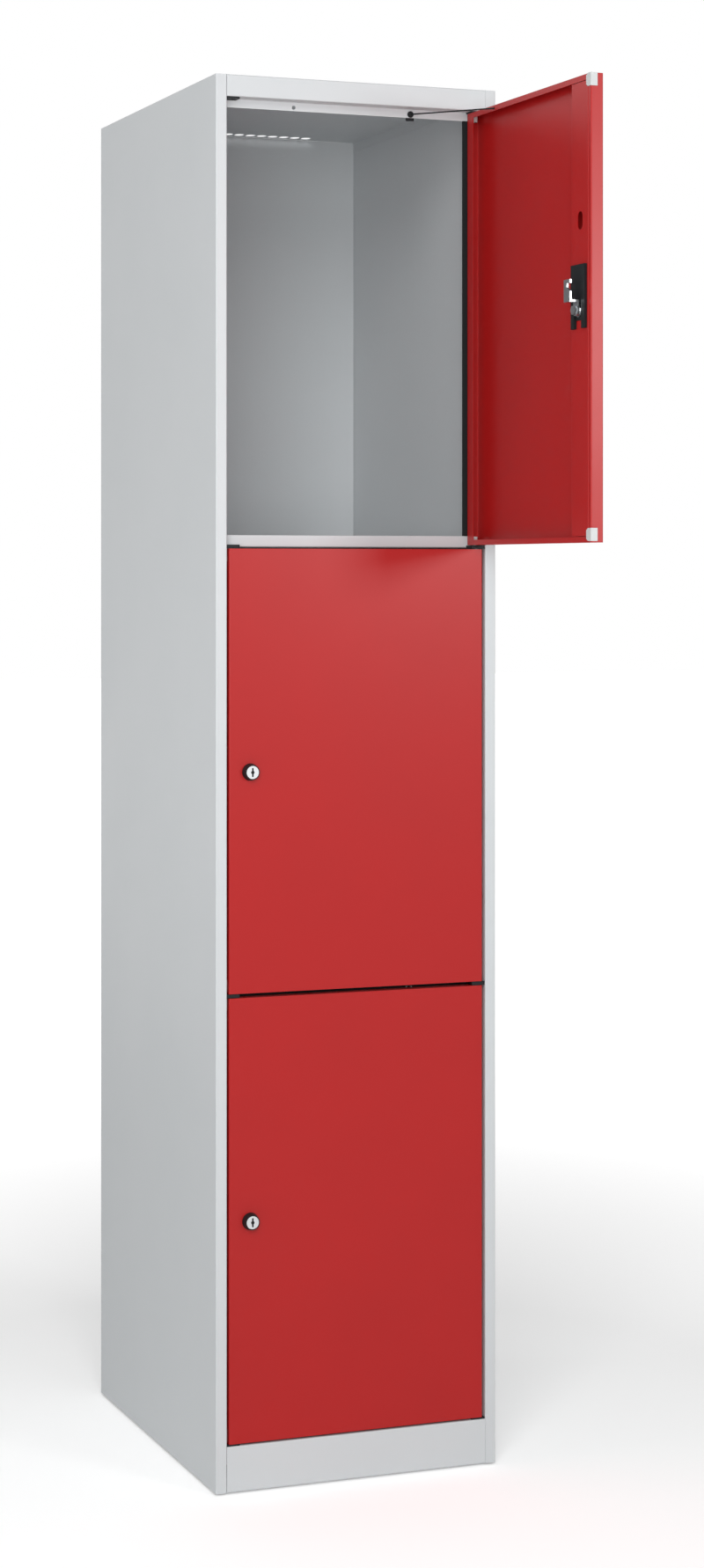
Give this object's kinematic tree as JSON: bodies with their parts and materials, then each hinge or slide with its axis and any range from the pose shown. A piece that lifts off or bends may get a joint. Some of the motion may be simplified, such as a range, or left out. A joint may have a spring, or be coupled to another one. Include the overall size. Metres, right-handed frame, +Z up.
{
  "type": "compartment locker",
  "caption": "Tall free-standing steel locker with stacked compartments, each closed by a red hinged pan door with a cam lock, on a grey folded-sheet carcass.",
  "frame": {"origin": "on the floor, in the middle of the carcass's footprint (the open door is left out of that footprint)", "axes": "+Z up, +X to the right seen from the front, -Y towards the person who opens the doors"},
  "size_m": [0.42, 0.9046, 1.95],
  "materials": {
    "grey_powder_coat": "satin, fine orange peel",
    "red_powder_coat": "satin, fine orange peel",
    "black_plastic": "matte moulded",
    "white_plastic": "satin moulded",
    "pin_steel": "ground",
    "lock_chrome": "plated",
    "cam_zinc": "zinc plated",
    "seal_rubber": "matte",
    "foot_plastic": "matte moulded",
    "nylon_cord": "matte",
    "zinc_sheet": "zinc plated"
  },
  "bodies": {
    "carcass": {"left_side_panel": "grey_powder_coat", "right_side_panel": "grey_powder_coat", "back_panel": "grey_powder_coat", "roof_panel": "grey_powder_coat", "floor_panel": "grey_powder_coat", "shelf_upper": "grey_powder_coat", "shelf_lower": "grey_powder_coat", "plinth_front": "grey_powder_coat", "rear_cross_member": "grey_powder_coat", "hinge_plates_top": "black_plastic", "hinge_plates_upper": "black_plastic", "hinge_plates_lower": "black_plastic", "hinge_plates_bottom": "black_plastic", "hinge_pins": "pin_steel", "door_seals": "seal_rubber", "stay_anchors": "black_plastic", "stay_cord_top": "nylon_cord", "foot_brackets": "zinc_sheet"},
    "foot_front_left": {"foot_front_left": "foot_plastic"},
    "foot_front_right": {"foot_front_right": "foot_plastic"},
    "foot_rear_left": {"foot_rear_left": "foot_plastic"},
    "foot_rear_right": {"foot_rear_right": "foot_plastic"},
    "door_top": {"door_panel_top": "red_powder_coat", "door_stiffener_top": "red_powder_coat", "corner_caps_top": "white_plastic", "hinge_bushings_top": "white_plastic", "lock_rosette_top": "black_plastic", "lock_barrel_top": "lock_chrome", "cam_guard_top": "black_plastic"},
    "lock_top": {"lock_plug_top": "lock_chrome", "lock_cam_top": "cam_zinc"},
    "door_middle": {"door_panel_middle": "red_powder_coat", "door_stiffener_middle": "red_powder_coat", "corner_caps_middle": "white_plastic", "hinge_bushings_middle": "white_plastic", "lock_rosette_middle": "black_plastic", "lock_barrel_middle": "lock_chrome", "cam_guard_middle": "black_plastic", "stay_cord_middle": "nylon_cord"},
    "lock_middle": {"lock_plug_middle": "lock_chrome", "lock_cam_middle": "cam_zinc"},
    "door_bottom": {"door_panel_bottom": "red_powder_coat", "door_stiffener_bottom": "red_powder_coat", "corner_caps_bottom": "white_plastic", "hinge_bushings_bottom": "white_plastic", "lock_rosette_bottom": "black_plastic", "lock_barrel_bottom": "lock_chrome", "cam_guard_bottom": "black_plastic", "stay_cord_bottom": "nylon_cord"},
    "lock_bottom": {"lock_plug_bottom": "lock_chrome", "lock_cam_bottom": "cam_zinc"}
  },
  "joints": [
    {"name": "door_top_hinge", "type": "hinge", "parent": "carcass", "child": "door_top", "pos_m": [0.182, -0.2605, 1.305], "axis": [0, 0, 1], "range_deg": [-91, 0], "deforming": ["stay_cord_top"]},
    {"name": "lock_top_turn", "type": "hinge", "parent": "door_top", "child": "lock_top", "pos_m": [0.18797, -0.60245, 1.6095], "axis": [0.9998, 0.0175, 0], "range_deg": [0, 90]},
    {"name": "door_middle_hinge", "type": "hinge", "parent": "carcass", "child": "door_middle", "pos_m": [0.182, -0.2605, 0.687], "axis": [0, 0, 1], "range_deg": [0, 91], "deforming": ["stay_cord_middle"]},
    {"name": "lock_middle_turn", "type": "hinge", "parent": "door_middle", "child": "lock_middle", "pos_m": [-0.16, -0.2605, 0.9915], "axis": [0, -1, 0], "range_deg": [0, 90]},
    {"name": "door_bottom_hinge", "type": "hinge", "parent": "carcass", "child": "door_bottom", "pos_m": [0.182, -0.2605, 0.069], "axis": [0, 0, 1], "range_deg": [0, 91], "deforming": ["stay_cord_bottom"]},
    {"name": "lock_bottom_turn", "type": "hinge", "parent": "door_bottom", "child": "lock_bottom", "pos_m": [-0.16, -0.2605, 0.3735], "axis": [0, -1, 0], "range_deg": [0, 90]},
    {"name": "foot_front_left_screw", "type": "slide", "parent": "carcass", "child": "foot_front_left", "axis": [0, 0, -1], "range_m": [0, 0.01]},
    {"name": "foot_front_right_screw", "type": "slide", "parent": "carcass", "child": "foot_front_right", "axis": [0, 0, -1], "range_m": [0, 0.01]},
    {"name": "foot_rear_left_screw", "type": "slide", "parent": "carcass", "child": "foot_rear_left", "axis": [0, 0, -1], "range_m": [0, 0.01]},
    {"name": "foot_rear_right_screw", "type": "slide", "parent": "carcass", "child": "foot_rear_right", "axis": [0, 0, -1], "range_m": [0, 0.01]}
  ]
}
